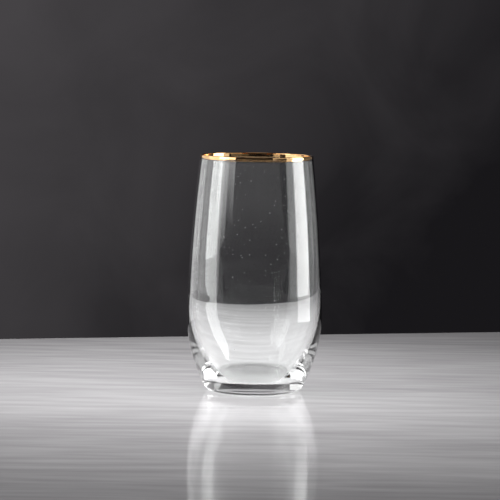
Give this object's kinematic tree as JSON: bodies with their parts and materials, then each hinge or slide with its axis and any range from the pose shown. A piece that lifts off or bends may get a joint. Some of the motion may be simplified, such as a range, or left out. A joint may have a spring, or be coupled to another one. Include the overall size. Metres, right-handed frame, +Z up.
{
  "type": "highball glass",
  "caption": "Tall barrel-sided highball glass in clear glass, with a thick rounded base, a shallow recess underneath and a gold band fired over the lip",
  "frame": {"origin": "centre of the foot ring, on the table that the glass stands on", "axes": "+Z runs up the axis of the glass, from the foot to the lip; the glass is round about it, so X and Y are free"},
  "size_m": [0.076, 0.076, 0.133],
  "materials": {
    "clear_glass": "clear, fire-polished",
    "fired_gold": "bright fired gold"
  },
  "bodies": {
    "root": {"tumbler": "clear_glass", "gold_rim": "fired_gold"}
  },
  "joints": []
}
